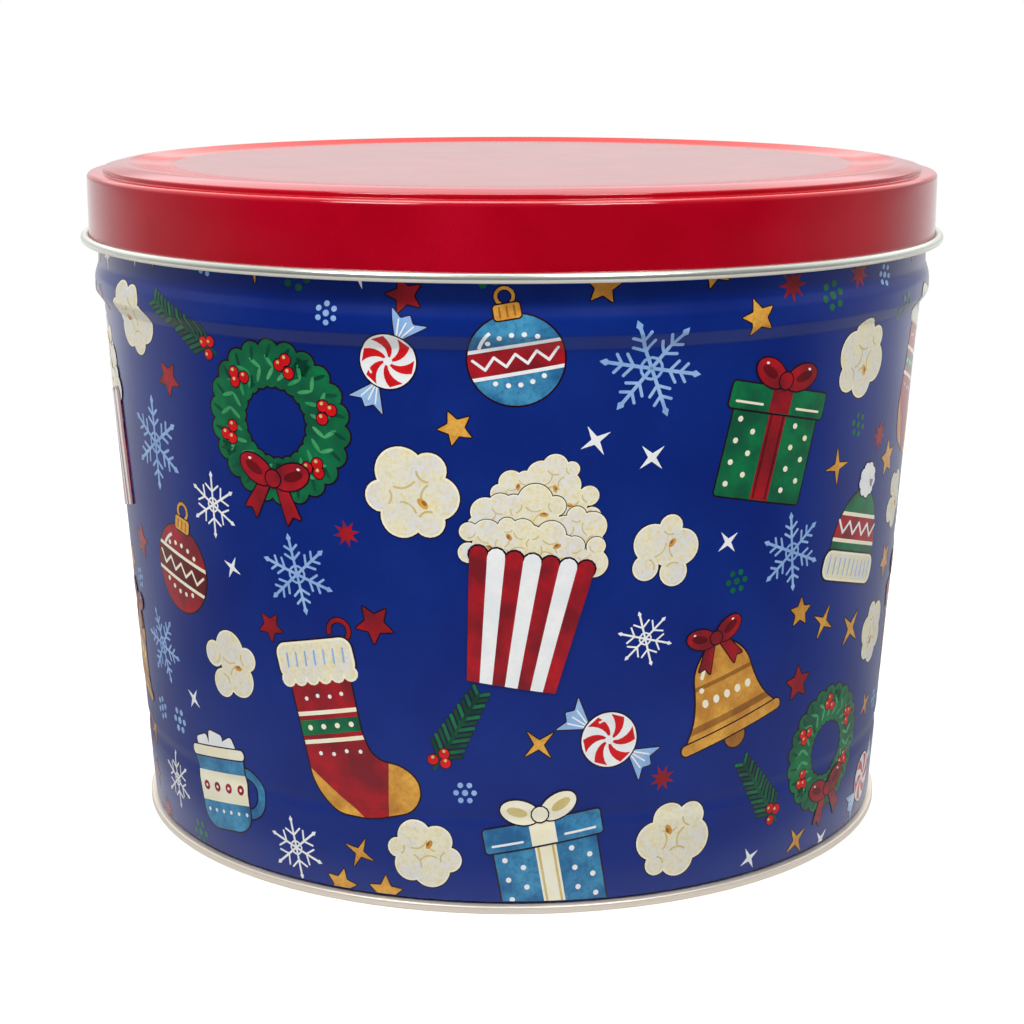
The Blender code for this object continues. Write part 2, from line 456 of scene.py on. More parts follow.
def red_lacquer():
    """The lid's lacquer: finely grained, with a brighter red painted over its ring as a painted reflection
    and over its ledge as a painted highlight, and a bump relief on the ring.
    """
    material, nodes = new_material("red_lacquer")
    mottle = nodes.add("ShaderNodeGroup", {"node_tree": MOTTLE}, Dark=linear((170, 1, 26)),
                       Light=linear((184, 5, 36)), Fleck=linear((160, 0, 20)), Patch_Scale=40.0,
                       Fleck_Scale=1800.0, Fleck_Share=0.5)
    place = nodes.add("ShaderNodeTexCoord").outputs["Object"]
    level = nodes.add("ShaderNodeVectorMath", {"operation": "MULTIPLY"}, _0=place, _1=(1.0, 1.0, 0.0))
    reach = nodes.add("ShaderNodeVectorMath", {"operation": "LENGTH"}, _0=level.outputs[0])
    across = nodes.ranged(reach.outputs["Value"], SHEEN_AND_RELIEF_FROM * MM, SHEEN_AND_RELIEF_TO * MM)
    # A brighter red painted over the ring and ledge: painted reflection and painted highlight, not a change
    # in the lacquer
    drawn = nodes.greys(across, by_radius(PAINTED_SHEEN_EDGES))
    rising = nodes.greys(across, by_radius(RING_RELIEF))
    tone = nodes.blend(drawn, mottle.outputs["Color"], linear(PAINTED_SHEEN_RED))
    varnish = nodes.add("ShaderNodeGroup", {"node_tree": VARNISH}, Gloss_Loss=0.1, Grain=0.18, Buckle=0.003)
    ring = nodes.add("ShaderNodeBump", Height=rising, Distance=RELIEF_HEIGHT * MM,
                     Normal=varnish.outputs["Normal"])
    shader = nodes.add("ShaderNodeBsdfPrincipled", Base_Color=tone,
                       Roughness=varnish.outputs["Roughness"], Normal=ring.outputs[0])
    nodes.add("ShaderNodeOutputMaterial", Surface=shader.outputs["BSDF"])
    return material


def tinplate(name, dark, light, roughness, metallic, floor_reflection_below=0.0):
    """Bare rolled sheet: dull satin metal, drawn fine and level, painted pale cream below a height as a
    painted reflection of the floor.
    """
    material, nodes = new_material(name)
    place = nodes.add("ShaderNodeTexCoord").outputs["Object"]
    level = nodes.add("ShaderNodeMapping", Vector=place, Scale=(1.0, 1.0, 60.0))
    drawn = nodes.noise(level.outputs[0], 45.0, 4.0)
    sheet = nodes.blend(drawn, linear(dark), linear(light))
    height = nodes.add("ShaderNodeSeparateXYZ", Vector=place).outputs["Z"]
    # Below the height, a painted reflection of the floor: pale cream and hardly metallic
    painted_reflection = nodes.ranged(height, floor_reflection_below * MM, (floor_reflection_below - FLOOR_REFLECTION_SOFTNESS) * MM)
    tone = nodes.blend(painted_reflection, sheet, linear(FLOOR_REFLECTION_TONE))
    shine = nodes.ranged(painted_reflection, 0.0, 1.0, metallic, FLOOR_REFLECTION_METALLIC)
    rough = nodes.ranged(drawn, 0.0, 1.0, roughness - 0.06, roughness + 0.08)
    shader = nodes.add("ShaderNodeBsdfPrincipled", Base_Color=tone, Metallic=shine, Roughness=rough)
    nodes.add("ShaderNodeOutputMaterial", Surface=shader.outputs["BSDF"])
    return material


def disc(radius, at=(0.0, 0.0), tall=1.0, tilt=0.0):
    """A flat round, or an upright or tilted oval."""
    bm = bmesh.new()
    sides = max(10, min(48, round(radius * DISC_SIDES_PER_MM)))
    bmesh.ops.create_circle(bm, cap_ends=True, segments=sides, radius=radius)
    bmesh.ops.scale(bm, vec=(1.0, tall, 1.0), verts=bm.verts)
    return moved(bm, at, tilt)


def cutout(corners, rounding=0.0):
    """A flat shape with the given corners, all rounded alike."""
    bm = bmesh.new()
    bm.faces.new([bm.verts.new((x, y, 0.0)) for x, y in corners])
    if rounding > 0.0:
        bmesh.ops.bevel(bm, geom=bm.verts[:], offset=rounding, segments=5, profile=0.5,
                        affect="VERTICES", clamp_overlap=True, material=-1)
    return bm


def block(left, right, foot, top, rounding=0.0):
    return cutout([(left, foot), (right, foot), (right, top), (left, top)], rounding)


def stroke(start, end, width):
    """A straight line of the given width, with round ends."""
    along = Vector(end) - Vector(start)
    side = along.orthogonal().normalized() * width / 2.0
    reach = along.normalized() * width / 2.0
    a, b = Vector(start) - reach, Vector(end) + reach
    return cutout([tuple(a - side), tuple(b - side), tuple(b + side), tuple(a + side)], width / 2.0)


def bow_line(radius, width, start, sweep, at=(0.0, 0.0)):
    """Part of a ring, from one angle in degrees through a sweep."""
    bm = bmesh.new()
    ends = [bm.verts.new((radius + side * width / 2.0, 0.0, 0.0)) for side in (-1.0, 1.0)]
    edge = bm.edges.new(ends)
    steps = max(6, round(radius * abs(math.radians(sweep)) / LINE_STEP))
    bmesh.ops.spin(bm, geom=ends + [edge], cent=(0.0, 0.0, 0.0), axis=(0.0, 0.0, 1.0),
                   angle=math.radians(sweep), steps=steps, use_merge=abs(sweep) == 360.0)
    return moved(bm, at, start)


def polar(reach, angle):
    """The point at a distance and an angle in degrees."""
    return reach * math.cos(math.radians(angle)), reach * math.sin(math.radians(angle))


def moved(bm, at, tilt=0.0, size=1.0):
    turn = Matrix.Rotation(math.radians(tilt), 4, "Z") @ Matrix.Scale(size, 4)
    bm.transform(Matrix.Translation((*at, 0.0)) @ turn)
    return bm


def kept_side(shape, point, away):
    """A copy of the shape, without what lies on the side that away points to."""
    bm = shape.copy()
    geom = bm.verts[:] + bm.edges[:] + bm.faces[:]
    bmesh.ops.bisect_plane(bm, geom=geom, plane_co=(*point, 0.0), plane_no=(*away, 0.0), clear_outer=True)
    return bm


def strip_of(shape, foot, top):
    """The level strip of a shape between two heights."""
    return kept_side(kept_side(shape, (0.0, top), (0.0, 1.0)), (0.0, foot), (0.0, -1.0))


class Motif:
    """One figure of the print: flat shapes round its centre, each in an ink and on a layer."""

    def __init__(self):
        self.shapes = []

    def lay(self, ink, layer, *sheets, outline=0.0):
        """Adds the sheets. An outline is a dark copy, wider by that much, on the layer below."""
        for sheet in sheets:
            if outline > 0.0:
                edge = sheet.copy()
                grown = bmesh.ops.inset_individual(edge, faces=edge.faces[:], thickness=-outline,
                                                   use_even_offset=True)
                bmesh.ops.delete(edge, geom=grown["faces"], context="FACES")
                self.shapes.append(("outline", layer - 1, edge))
            self.shapes.append((ink, layer, sheet))
        return self

    def take(self, other, at, tilt=0.0, size=1.0, lift=0):
        """Adds another figure, over whatever lies below the lift."""
        for ink, layer, sheet in other.shapes:
            self.shapes.append((ink, layer + lift, moved(sheet, at, tilt, size)))
        return self

    def berry(self, at, radius, layer):
        self.lay("scarlet", layer, disc(radius, at), outline=0.3)
        self.lay("butter", layer + 1, disc(radius * 0.3, (at[0] - radius * 0.25, at[1] + radius * 0.4)))


def ribbon_bow(ink="red", shade="crimson", tails=True):
    """A bow about 20 mm wide round its knot."""
    bow = Motif()
    for side in (-1.0, 1.0):
        if tails:
            tail = cutout([(0.0, 1.0), (side * 3.4, 0.4), (side * 9.0, -9.0), (side * 6.4, -8.6),
                           (side * 5.0, -11.4)], 0.5)
            bow.lay(ink, 1, tail, outline=0.4)
        bow.lay(ink, 4, disc(5.6, (side * 5.4, 1.9), 0.62, side * 24.0), outline=0.4)
        bow.lay(shade, 5, disc(3.0, (side * 6.2, 2.2), 0.45, side * 24.0))
        bow.lay("white", 6, disc(0.5, (side * 7.6, 4.4), 0.7))
    bow.lay(ink, 7, disc(2.3, (0.0, 0.4)), outline=0.4)
    return bow


def stocking():
    sock = Motif()
    leg = cutout([(-9.5, 17.0), (9.5, 17.0), (9.0, -3.0), (11.0, -9.5), (19.5, -12.5), (23.0, -19.0),
                  (19.0, -25.5), (6.0, -26.0), (-5.0, -23.0), (-9.6, -14.0)], 3.4)
    sock.lay("red", 1, leg, outline=0.5)
    sock.lay("gold", 2, kept_side(leg, (13.6, -16.0), (-1.0, 0.25)))
    sock.lay("gold", 2, kept_side(leg, (-3.6, -17.0), (0.75, 0.66)))
    for foot, top, ink in ((4.6, 5.8, "cream"), (-3.4, -2.2, "cream"), (-0.9, 3.3, "green")):
        sock.lay(ink, 2, strip_of(leg, foot, top))
    for step in range(4):
        sock.lay("cream", 3, disc(0.8, (-6.6 + 4.4 * step, 1.2)))
        sock.lay("white", 2, disc(0.6, (-5.2 + 4.2 * step, -6.2 - 0.5 * (step % 2))))
        sock.lay("white", 2, disc(0.6, (-5.6 + 3.8 * step, 9.4 + 0.5 * (step % 2))))
    sock.lay("cream", 4, block(-12.2, 12.2, 15.0, 25.4, 3.2), outline=0.5)
    sock.lay("corn", 5, block(-11.5, 11.5, 15.4, 24.7, 2.6))
    for step in range(6):
        sock.lay("cream", 4, disc(2.3, (-10.0 + 4.0 * step, 15.2)))
        sock.lay("corn", 5, disc(1.7, (-10.0 + 4.0 * step, 15.2)))
    for step in range(7):
        sock.lay("sky", 6, stroke((-9.0 + 3.0 * step, 18.6), (-8.6 + 3.0 * step, 22.4), 0.55))
    sock.lay("red", 1, bow_line(3.0, 1.2, -60.0, 250.0, (9.6, 27.2)), outline=0.3)
    return sock


def gift(box_ink, ribbon_ink, shade, dots):
    present = Motif()
    present.lay(box_ink, 1, block(-15.5, 15.5, -19.0, 8.0, 1.0), outline=0.5)
    for row in range(4):
        for column in range(6):
            across = -12.6 + 5.04 * column
            if abs(across) > 4.6:
                present.lay(dots, 2, disc(0.85, (across, -15.4 + 6.2 * row + 3.1 * (column % 2))))
    present.lay(ribbon_ink, 3, block(-3.2, 3.2, -18.9, 8.0))
    present.lay(box_ink, 7, block(-17.6, 17.6, 6.0, 13.4, 1.0), outline=0.5)
    present.lay(ribbon_ink, 8, block(-3.8, 3.8, 6.1, 13.3))
    for side in (-1.0, 1.0):
        present.lay(shade, 4, block(side * 2.2 - 0.35, side * 2.2 + 0.35, -18.5, 5.6))
        present.lay(dots, 8, stroke((side * 6.4, 8.0), (side * 15.4, 8.0), 0.7))
    return present.take(ribbon_bow(ribbon_ink, shade, tails=False), (0.0, 15.0), size=1.05, lift=9)


def bell():
    chime = Motif()
    cup = cutout([(-3.2, 14.6), (3.2, 14.6), (8.6, 8.6), (9.8, 0.0), (12.0, -6.5), (16.4, -12.0),
                  (-16.4, -12.0), (-12.0, -6.5), (-9.8, 0.0), (-8.6, 8.6)], 3.0)
    chime.lay("brass", 1, disc(3.4, (0.0, -14.4)), outline=0.45)
    chime.lay("gold", 4, cup, outline=0.5)
    chime.lay("brass", 5, strip_of(cup, -8.6, -6.6), strip_of(cup, 3.2, 4.4))
    for step in range(5):
        chime.lay("cream", 5, disc(1.0, (-7.2 + 3.6 * step, -1.2), 1.25))
    chime.lay("gold", 7, block(-17.2, 17.2, -13.6, -10.6, 1.4), outline=0.4)
    chime.lay("cream", 8, stroke((-6.6, 6.4), (-4.6, 10.2), 1.1), disc(0.8, (-7.5, 2.9)))
    return chime.take(ribbon_bow(), (0.0, 15.6), size=0.8, lift=9)


def wreath():
    ring = Motif()
    ring.lay("green", 1, bow_line(15.0, 8.6, 0.0, 360.0))
    for step in range(22):
        turn = 360.0 * step / 22
        ring.lay("green", 1, disc(3.2, polar(18.4, turn)), outline=0.5)
        ring.lay("green", 1, disc(2.4, polar(11.6, turn)), outline=0.5)
        for reach, lean, ink in ((16.0, 38.0, "mint"), (12.8, -34.0, "mint"), (18.6, -22.0, "fir")):
            ring.lay(ink, 2, disc(2.1, polar(reach, turn), 0.26, turn + lean))
    for step in range(6):
        turn = 60.0 * (step + 0.35)
        for lead, reach in ((-6.0, 14.2), (6.0, 15.4), (0.5, 17.2)):
            ring.berry(polar(reach, turn + lead), 1.55, 4)
    return ring.take(ribbon_bow(), (0.0, -15.4), lift=6)


def popped_kernel(lobes):
    """Uneven lobes of (radius, reach, angle) with a bright rim, their folds and a scrap of hull."""
    corn = Motif()
    middle = 4.8
    corn.lay("cream", 1, disc(middle))
    corn.lay("corn", 2, disc(middle))
    for radius, reach, angle in lobes:
        place = polar(reach, angle)
        corn.lay("cream", 1, disc(radius, place), outline=0.35)
        corn.lay("corn", 2, disc(radius - CORN_RIM, place))
        corn.lay("butter", 3, bow_line(radius * 0.66, 0.5, angle + 128.0, 84.0, place))
    hull = polar(3.4, lobes[0][2] + 205.0)
    corn.lay("gold", 4, disc(1.7, hull, 0.55, lobes[0][2] + 20.0))
    corn.lay("brass", 5, disc(0.8, (hull[0] + 0.4, hull[1]), 0.6, lobes[0][2] + 20.0))
    return corn


def carton():
    """A plain striped carton, heaped with popped corn in three rows, the back row first."""
    box = Motif()
    rows = (
        ((-6.6, 24.0, 0.56, 150.0), (1.6, 28.6, 0.60, 20.0), (8.6, 23.0, 0.54, 250.0)),
        ((-10.8, 16.6, 0.60, 10.0), (-1.4, 19.4, 0.66, 80.0), (10.2, 16.0, 0.62, 300.0)),
        ((-13.0, 9.6, 0.56, 60.0), (-5.2, 11.4, 0.60, 200.0), (3.6, 10.8, 0.64, 120.0),
         (12.4, 9.4, 0.56, 330.0)),
    )
    for row, kernels in enumerate(rows):
        for index, (across, up, size, tilt) in enumerate(kernels):
            lobes = KERNELS[(row + index) % len(KERNELS)]
            box.take(popped_kernel(lobes), (across, up), tilt, size, lift=6 * row)
    top, foot, wide, narrow, stripes = 7.0, -27.0, 16.0, 11.6, 7
    front = 6 * len(rows)
    sheet = cutout([(-wide, top), (wide, top), (narrow, foot), (-narrow, foot)])
    box.lay("white", front + 1, sheet, outline=0.5)
    for stripe in range(stripes):
        sides = [(stripe + side) / stripes * 2.0 - 1.0 for side in (0, 1)]
        scallop = ((sides[0] + sides[1]) / 2.0 * wide, top)
        ink = "red" if stripe % 2 == 0 else "white"
        box.lay("outline", front, disc(wide / stripes + 0.45, scallop))
        box.lay(ink, front + 2, disc(wide / stripes, scallop))
        if ink == "red":
            box.lay(ink, front + 2, cutout([(sides[0] * wide, top), (sides[1] * wide, top),
                                            (sides[1] * narrow, foot), (sides[0] * narrow, foot)]))
    return box


def peppermint():
    sweet = Motif()
    for side in (-1.0, 1.0):
        fan = cutout([(side * 7.5, 0.0), (side * 17.0, 6.4), (side * 15.4, 2.2), (side * 17.6, 0.0),
                      (side * 15.4, -2.2), (side * 17.0, -6.4)], 0.5)
        sweet.lay("sky", 1, fan, outline=0.4)
        for rise in (-2.6, 0.0, 2.6):
            sweet.lay("white", 2, stroke((side * 9.8, rise * 0.3), (side * 14.8, rise), 0.5))
    sweet.lay("white", 4, disc(9.2), outline=0.5)
    arms, swirl, steps = 6, 46.0, 6
    for arm in range(arms):
        lead_side, back_side = [], []
        for step in range(steps + 1):
            turn = 360.0 * arm / arms + swirl * step / steps
            lead_side.append(polar(8.7 * step / steps, turn + 90.0 / arms))
            back_side.append(polar(8.7 * step / steps, turn - 90.0 / arms))
        sweet.lay("scarlet", 5, cutout(back_side + lead_side[:0:-1]))
    sweet.lay("white", 6, disc(1.5), bow_line(6.9, 0.7, 115.0, 40.0))
    return sweet


def bauble(ink, band_ink, trim):
    """A round bauble with a band, a zigzag and a cap."""
    ball = Motif()
    round_shape = disc(12.6)
    ball.lay("gold", 1, bow_line(2.3, 0.9, 0.0, 360.0, (0.0, 17.4)), outline=0.25)
    ball.lay(ink, 1, round_shape, outline=0.5)
    ball.lay(band_ink, 2, strip_of(round_shape, -4.2, 4.2))
    ball.lay(trim, 3, strip_of(round_shape, 3.3, 4.3), strip_of(round_shape, -4.3, -3.3))
    for step in range(8):
        left = -11.2 + 2.8 * step
        swing = 1.5 if step % 2 else -1.5
        ball.lay(trim, 3, stroke((left, -swing), (left + 2.8, swing), 0.75))
    for step in range(5):
        drop = 0.35 * abs(step - 2) ** 2
        ball.lay(trim, 2, disc(0.7, (-6.4 + 3.2 * step, 7.0 - drop)))
        ball.lay(trim, 2, disc(0.7, (-6.4 + 3.2 * step, drop - 7.0)))
    ball.lay("gold", 4, block(-3.4, 3.4, 11.4, 15.4, 0.8), outline=0.4)
    for step in range(3):
        ball.lay("brass", 5, stroke((-1.9 + 1.9 * step, 12.2), (-1.9 + 1.9 * step, 14.6), 0.5))
    ball.lay("white", 4, bow_line(10.0, 0.9, 122.0, 32.0))
    return ball


def knit_hat():
    hat = Motif()
    dome = cutout([(-13.6, -8.0), (13.6, -8.0), (13.4, 1.0), (9.4, 9.4), (2.6, 14.2), (-2.6, 14.2),
                   (-9.4, 9.4), (-13.4, 1.0)], 3.2)
    hat.lay("green", 1, dome, outline=0.5)
    hat.lay("cream", 3, strip_of(dome, 5.6, 6.7), strip_of(dome, -2.2, -1.1))
    hat.lay("red", 2, strip_of(dome, -1.1, 5.6))
    for step in range(8):
        left = -12.0 + 3.0 * step
        rise = 1.7 if step % 2 else -1.7
        hat.lay("white", 3, stroke((left, 2.3 - rise), (left + 3.0, 2.3 + rise), 0.8))
    hat.lay("cream", 7, block(-15.4, 15.4, -13.4, -4.8, 3.2), outline=0.5)
    hat.lay("corn", 8, block(-14.7, 14.7, -12.7, -5.5, 2.6))
    for step in range(10):
        rib = -12.6 + 2.8 * step
        hat.lay("sky", 9, stroke((rib, -11.4), (rib, -6.8), 0.55))
    for step in range(9):
        tuft = polar(3.4, 40.0 * step)
        hat.lay("white", 4, disc(1.9, (tuft[0], tuft[1] + 16.6)), outline=0.4)
    hat.lay("white", 4, disc(3.8, (0.0, 16.6)))
    return hat


def mug():
    cup = Motif()
    cup.lay("lake", 1, bow_line(6.2, 2.8, -100.0, 200.0, (10.6, -1.6)), outline=0.45)
    side = cutout([(-12.6, 10.0), (11.4, 10.0), (10.6, -10.4), (6.6, -13.6), (-7.8, -13.6),
                   (-11.8, -10.4)], 2.4)
    cup.lay("lake", 4, side, outline=0.5)
    cup.lay("cream", 5, strip_of(side, -5.4, 3.6))
    for step in range(4):
        cup.lay("red", 6, disc(1.5, (-8.8 + 5.6 * step, -0.9)))
        cup.lay("white", 7, disc(0.5, (-8.8 + 5.6 * step, -0.9)))
    for step in range(6):
        cup.lay("white", 5, disc(0.6, (-9.4 + 3.7 * step, -8.2)))
    for across, up, size, tilt in ((-7.0, 11.4, 3.0, 14.0), (-0.6, 12.4, 3.3, -12.0), (5.8, 11.2, 2.9, 22.0)):
        cup.lay("white", 4, moved(block(-size, size, -size, size, 1.2), (across, up), tilt), outline=0.4)
    cup.lay("cream", 7, block(-13.4, 12.2, 8.2, 11.2, 1.4), outline=0.4)
    return cup


def fir_sprig():
    sprig = Motif()
    stem, reach = 17.0, 6.4
    for step in range(12):
        up = -stem + 4.0 + step * 2.35
        length = reach * (1.0 - 0.045 * step)
        for side in (-1.0, 1.0):
            tip = (side * length * 0.86, up + length * 0.72)
            sprig.lay("green" if step % 2 else "fir", 1, stroke((0.0, up), tip, 1.15), outline=0.25)
    sprig.lay("fir", 2, stroke((0.0, -stem), (0.0, stem - 4.0), 1.2))
    for place in ((-2.0, -14.4), (2.2, -13.2), (0.2, -10.6)):
        sprig.berry(place, 1.8, 4)
    return sprig


def snowflake(ink, reach, barbs):
    """Six arms with diamond tips; barbs are (place, length) shares of the reach."""
    crystal = Motif()
    for arm in range(6):
        parts = [stroke((0.0, 0.0), (0.0, reach * 0.84), reach * 0.07)]
        for place, length in barbs:
            for side in (-1.0, 1.0):
                root = (0.0, reach * place)
                tip = (side * reach * length * 0.80, reach * (place + length * 0.60))
                parts.append(stroke(root, tip, reach * 0.06))
        parts.append(cutout([(0.0, reach * 0.78), (reach * 0.07, reach * 0.90), (0.0, reach * 1.02),
                             (-reach * 0.07, reach * 0.90)]))
        crystal.lay(ink, 1, *[moved(part, (0.0, 0.0), 60.0 * arm) for part in parts])
    crystal.lay(ink, 2, bow_line(reach * 0.21, reach * 0.055, 0.0, 360.0))
    return crystal


def pointed(ink, points, outer, waist, outline=0.35):
    """A star or sparkle with the given number of points."""
    corners = [
        polar(waist if step % 2 else outer, 90.0 + 180.0 * step / points)
        for step in range(points * 2)
    ]
    return Motif().lay(ink, 1, cutout(corners, outer * 0.05), outline=outline)


def dot_flower(ink, reach):
    flower = Motif()
    for step in range(6):
        flower.lay(ink, 1, disc(reach * 0.23, polar(reach * 0.72, 60.0 * step)))
    return flower.lay(ink, 1, disc(reach * 0.26))


# The lobes of each popped kernel, as (radius, reach, angle)
KERNELS = (
    ((6.2, 6.2, 96.0), (4.4, 7.4, 36.0), (5.6, 6.0, 334.0), (3.9, 7.8, 282.0), (5.4, 6.0, 226.0),
     (4.0, 7.6, 165.0)),
    ((5.4, 6.4, 70.0), (6.4, 5.2, 140.0), (4.2, 8.0, 198.0), (5.2, 5.8, 258.0), (5.8, 6.2, 332.0),
     (3.4, 9.2, 22.0)),
    ((4.4, 8.6, 84.0), (6.6, 5.6, 18.0), (4.0, 8.4, 312.0), (6.2, 5.0, 244.0), (4.8, 7.4, 160.0)),
)

MOTIFS = {
    "stocking": stocking,
    "green gift": lambda: gift("green", "red", "crimson", "cream"),
    "blue gift": lambda: gift("lake", "cream", "butter", "white"),
    "red gift": lambda: gift("red", "gold", "brass", "white"),
    "bell": bell,
    "wreath": wreath,
    "carton": carton,
    "round kernel": lambda: popped_kernel(KERNELS[0]),
    "broad kernel": lambda: popped_kernel(KERNELS[1]),
    "small kernel": lambda: popped_kernel(KERNELS[2]),
    "peppermint": peppermint,
    "red bauble": lambda: bauble("red", "crimson", "cream"),
    "blue bauble": lambda: bauble("lake", "red", "white"),
    "hat": knit_hat,
    "mug": mug,
    "sprig": fir_sprig,
    "big snowflake": lambda: snowflake("sky", 14.5, ((0.36, 0.26), (0.58, 0.22))),
    "small snowflake": lambda: snowflake("white", 9.0, ((0.40, 0.34),)),
}

# (motif, millimetres round from the front, height, tilt in degrees, size), for half of the wall
LAYOUT = [
    ("carton", 4.0, 90.0, -9.0, 1.0),
    ("wreath", -62.0, 130.0, -6.0, 1.0),
    ("stocking", -50.0, 48.0, 12.0, 0.98),
    ("green gift", 70.0, 126.0, -12.0, 0.92),
    ("bell", 60.0, 58.0, 16.0, 0.98),
    ("blue bauble", 1.0, 149.0, 10.0, 0.92),
    ("hat", 110.0, 92.0, -14.0, 0.95),
    ("blue gift", 10.0, 14.0, 10.0, 0.92),
    ("red bauble", -104.0, 84.0, -12.0, 0.98),
    ("mug", -92.0, 24.0, 8.0, 0.96),
    ("wreath", 104.0, 32.0, 10.0, 0.86),
    ("carton", -152.0, 118.0, 12.0, 0.92),
    ("bell", -150.0, 52.0, -15.0, 0.9),
    ("stocking", 146.0, 134.0, -16.0, 0.9),
    ("red gift", 164.0, 60.0, 8.0, 0.9),
    ("round kernel", -25.0, 114.0, 20.0, 1.05),
    ("small kernel", 40.0, 98.0, 130.0, 0.8),
    ("small kernel", -84.0, 60.0, 75.0, 0.85),
    ("broad kernel", 46.0, 18.0, 210.0, 0.95),
    ("broad kernel", 104.0, 142.0, 15.0, 0.95),
    ("round kernel", -118.0, 152.0, 250.0, 0.9),
    ("round kernel", 130.0, 60.0, 300.0, 0.8),
    ("broad kernel", -24.0, 16.0, 150.0, 0.85),
    ("small kernel", 142.0, 96.0, 40.0, 0.75),
    ("round kernel", -178.0, 18.0, 110.0, 1.0),
    ("big snowflake", 34.0, 146.0, 20.0, 0.9),
    ("big snowflake", -112.0, 118.0, 0.0, 0.9),
    ("big snowflake", 80.0, 93.0, 8.0, 0.76),
    ("big snowflake", -121.0, 58.0, 20.0, 0.76),
    ("big snowflake", -58.0, 90.0, 12.0, 0.75),
    ("big snowflake", -176.0, 156.0, 12.0, 0.85),
    ("peppermint", 26.0, 48.0, -34.0, 0.82),
    ("peppermint", -30.0, 148.0, 62.0, 0.76),
    ("peppermint", 136.0, 14.0, 30.0, 0.8),
    ("sprig", -14.0, 52.0, -30.0, 0.8),
    ("sprig", 74.0, 27.0, 36.0, 0.8),
    ("sprig", -92.0, 153.0, 60.0, 0.8),
    ("small snowflake", -86.0, 105.0, 0.0, 1.0),
    ("small snowflake", 35.0, 75.0, 15.0, 0.85),
    ("small snowflake", -64.0, 12.0, 10.0, 1.0),
    ("small snowflake", -178.0, 88.0, 20.0, 1.0),
    ("small snowflake", -120.0, 18.0, 5.0, 0.95),
]

SMALL_KINDS = [
    lambda: pointed("gold", 4, 5.2, 1.3),
    lambda: pointed("red", 5, 4.8, 2.3),
    lambda: dot_flower("sky", 3.6),
    lambda: pointed("gold", 5, 4.6, 2.2),
    lambda: pointed("white", 4, 3.8, 0.95, 0.0),
    lambda: dot_flower("green", 3.8),
    lambda: pointed("red", 8, 4.4, 1.9, 0.0),
]


def surface_heights():
    """The heights at which the wall bends, with its radius there."""
    points = [(height, radius) for radius, height in wall_profile() if radius > SEAM_INNER_RADIUS]
    return sorted(points)


def on_wall(place, bends):
    """Lays a point of the flat print, (round, up, out), on the flats between the wall's edges."""
    step = math.tau / SEGMENTS
    turn = place.x / PRINT_RADIUS
    middle = (math.floor(turn / step) + 0.5) * step
    flat = math.cos(step / 2.0) / math.cos(turn - middle)
    above = bisect.bisect_left(bends, (place.y, 0.0))
    (low, low_radius), (high, high_radius) = bends[above - 1], bends[above]
    share = (place.y - low) / (high - low)
    radius = (low_radius + (high_radius - low_radius) * share) * flat + place.z
    return Vector((radius * math.sin(turn), -radius * math.cos(turn), place.y))


def cut_across(bm, point, normal, clear=False):
    geom = bm.verts[:] + bm.edges[:] + bm.faces[:]
    bmesh.ops.bisect_plane(bm, geom=geom, plane_co=point, plane_no=normal, clear_outer=clear)


def trimmed(sheet, bends):
    """Cuts a placed sheet at the edges of the print and along the wall's own edges."""
    limit = math.pi * PRINT_RADIUS - SEAM_MARGIN
    for reach, axis in ((limit, (1.0, 0.0, 0.0)), (limit, (-1.0, 0.0, 0.0)),
                        (PRINT_TOP, (0.0, 1.0, 0.0)), (-PRINT_FOOT, (0.0, -1.0, 0.0))):
        cut_across(sheet, Vector(axis) * reach, axis, clear=True)
    if not sheet.faces:
        return
    column = PRINT_RADIUS * math.tau / SEGMENTS
    across = [vert.co.x for vert in sheet.verts]
    up = [vert.co.y for vert in sheet.verts]
    for index in range(math.floor(min(across) / column) + 1, math.ceil(max(across) / column)):
        cut_across(sheet, (index * column, 0.0, 0.0), (1.0, 0.0, 0.0))
    for height, _ in bends:
        if min(up) < height < max(up):
            cut_across(sheet, (0.0, height, 0.0), (0.0, 1.0, 0.0))


def raised(sheet, out):
    """Gives a flat sheet its thickness: from inside the wall to its own layer."""
    for vert in sheet.verts:
        vert.co.z = -INK_ROOT
    grown = bmesh.ops.extrude_face_region(sheet, geom=sheet.faces[:])
    for part in grown["geom"]:
        if isinstance(part, bmesh.types.BMVert):
            part.co.z = out


def build_print():
    """Every motif, in layers a few hundredths of a millimetre apart on the wall, one piece for each ink."""
    bends = surface_heights()
    inks = {name: bmesh.new() for name in INKS}
    counts = dict.fromkeys(INKS, 0)
    spare = bpy.data.meshes.new("spare")
    half_turn = math.pi * PRINT_RADIUS
    for build, across, up, tilt, size in all_places():
        for repeat in (-1, 0, 1):
            for ink, layer, sheet in build().shapes:
                moved(sheet, (across + repeat * half_turn, up), tilt, size)
                trimmed(sheet, bends)
                if sheet.faces:
                    counts[ink] += 1
                    raised(sheet, INK_STEP * (layer + 1) + INK_NUDGE * (counts[ink] % INK_NUDGES))
                    for vert in sheet.verts:
                        vert.co = on_wall(vert.co, bends)
                    sheet.to_mesh(spare)
                    inks[ink].from_mesh(spare)
                sheet.free()
    bpy.data.meshes.remove(spare)
    for name, bm in inks.items():
        finished(f"print_{name}", bm, printed(f"ink_{name}", *INKS[name]))


